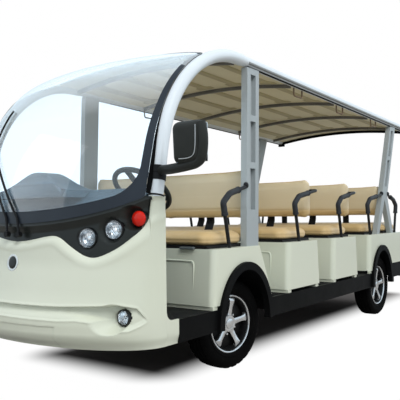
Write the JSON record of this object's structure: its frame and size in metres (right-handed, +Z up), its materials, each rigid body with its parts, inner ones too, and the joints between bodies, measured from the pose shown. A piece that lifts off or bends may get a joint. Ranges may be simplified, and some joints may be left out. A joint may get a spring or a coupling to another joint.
{
  "type": "electric sightseeing minibus",
  "caption": "Open-sided electric sightseeing minibus with a roof, padded benches, turning wheels and working steering.",
  "frame": {"origin": "on the ground, under the middle of the overall length and width", "axes": "+X forward, +Y to the bus's left, +Z up"},
  "size_m": [4.5, 2.2282, 1.997],
  "materials": {
    "cream_paint": "gloss",
    "black_trim": "matte",
    "black_gloss": "gloss",
    "silver_paint": "satin",
    "seat_vinyl": "satin",
    "windscreen_glass": "clear",
    "lamp_glass": "clear",
    "red_lens": "gloss",
    "black_steel": "satin",
    "bare_steel": "satin",
    "alloy": "satin",
    "tyre_rubber": "matte",
    "roof_liner": "satin",
    "dash_plastic": "matte",
    "battery_casing": "satin"
  },
  "bodies": {
    "chassis": {"chassis_frame": "black_steel", "floor_deck": "black_trim", "wheel_wells": "black_trim", "side_sills": "black_trim", "arch_flares": "black_trim", "front_fascia": "cream_paint", "lamp_mask": "black_gloss", "front_lamps": "lamp_glass", "corner_lamps": "red_lens", "nose_badge": "black_gloss", "windscreen": "windscreen_glass", "windscreen_header": "black_trim", "wiper": "black_trim", "roof_rails": "silver_paint", "roof_panel": "roof_liner", "roof_ribs": "black_steel", "roof_rear_trim": "black_trim", "roof_handles": "black_trim", "pillars_front": "silver_paint", "pillars_rear": "silver_paint", "seat_box_front": "cream_paint", "seat_box_second": "cream_paint", "seat_box_third": "cream_paint", "seat_box_rear": "cream_paint", "seat_frames": "black_steel", "seat_cushions": "seat_vinyl", "seat_backrests": "seat_vinyl", "grab_rails": "black_trim", "dashboard": "dash_plastic", "steering_column": "black_steel", "pedals": "black_steel", "front_posts": "black_steel", "mirrors": "black_trim", "front_axle": "black_steel", "rear_axle": "black_steel", "drive_motor": "alloy", "battery_pack": "battery_casing", "leaf_springs": "black_steel", "rear_bumper": "black_trim", "tail_lamps": "red_lens"},
    "steering_wheel": {"steering_wheel": "black_trim"},
    "knuckle_left": {"knuckle_left": "bare_steel"},
    "knuckle_right": {"knuckle_right": "bare_steel"},
    "tie_rod": {"tie_rod": "bare_steel"},
    "wheel_front_left": {"tyre_front_left": "tyre_rubber", "rim_front_left": "alloy"},
    "wheel_front_right": {"tyre_front_right": "tyre_rubber", "rim_front_right": "alloy"},
    "wheel_rear_left": {"tyre_rear_left": "tyre_rubber", "rim_rear_left": "alloy"},
    "wheel_rear_right": {"tyre_rear_right": "tyre_rubber", "rim_rear_right": "alloy"}
  },
  "joints": [
    {"name": "steer_left", "type": "hinge", "parent": "chassis", "child": "knuckle_left", "pos_m": [1.035, 0.565, 0.276], "axis": [0, 0, 1], "range_deg": [-21, 39]},
    {"name": "steer_right", "type": "hinge", "parent": "chassis", "child": "knuckle_right", "pos_m": [1.035, -0.565, 0.276], "axis": [0, 0, 1], "range_deg": [-21, 39]},
    {"name": "tie_rod_swing", "type": "hinge", "parent": "knuckle_left", "child": "tie_rod", "pos_m": [0.9066, 0.58534, 0.276], "axis": [0, 0, 1], "range_deg": [-39, 21]},
    {"name": "steering_wheel_turn", "type": "hinge", "parent": "chassis", "child": "steering_wheel", "pos_m": [1.64, 0.473, 1.104], "axis": [-0.6428, 0, 0.766], "range_deg": [-378, 702]},
    {"name": "front_left_spin", "type": "hinge", "parent": "knuckle_left", "child": "wheel_front_left", "pos_m": [1.04282, 0.61438, 0.276], "axis": [0.1564, 0.9877, 0], "continuous": true},
    {"name": "front_right_spin", "type": "hinge", "parent": "knuckle_right", "child": "wheel_front_right", "pos_m": [1.02718, -0.61438, 0.276], "axis": [0.1564, 0.9877, 0], "continuous": true},
    {"name": "rear_left_spin", "type": "hinge", "parent": "chassis", "child": "wheel_rear_left", "pos_m": [-1.365, 0.673, 0.276], "axis": [0, 1, 0], "continuous": true},
    {"name": "rear_right_spin", "type": "hinge", "parent": "chassis", "child": "wheel_rear_right", "pos_m": [-1.365, -0.673, 0.276], "axis": [0, 1, 0], "continuous": true}
  ],
  "couplings": [
    {"joint": "steer_right", "follows": "steer_left", "ratio": 1},
    {"joint": "tie_rod_swing", "follows": "steer_left", "ratio": -1},
    {"joint": "steering_wheel_turn", "follows": "steer_left", "ratio": 18}
  ]
}
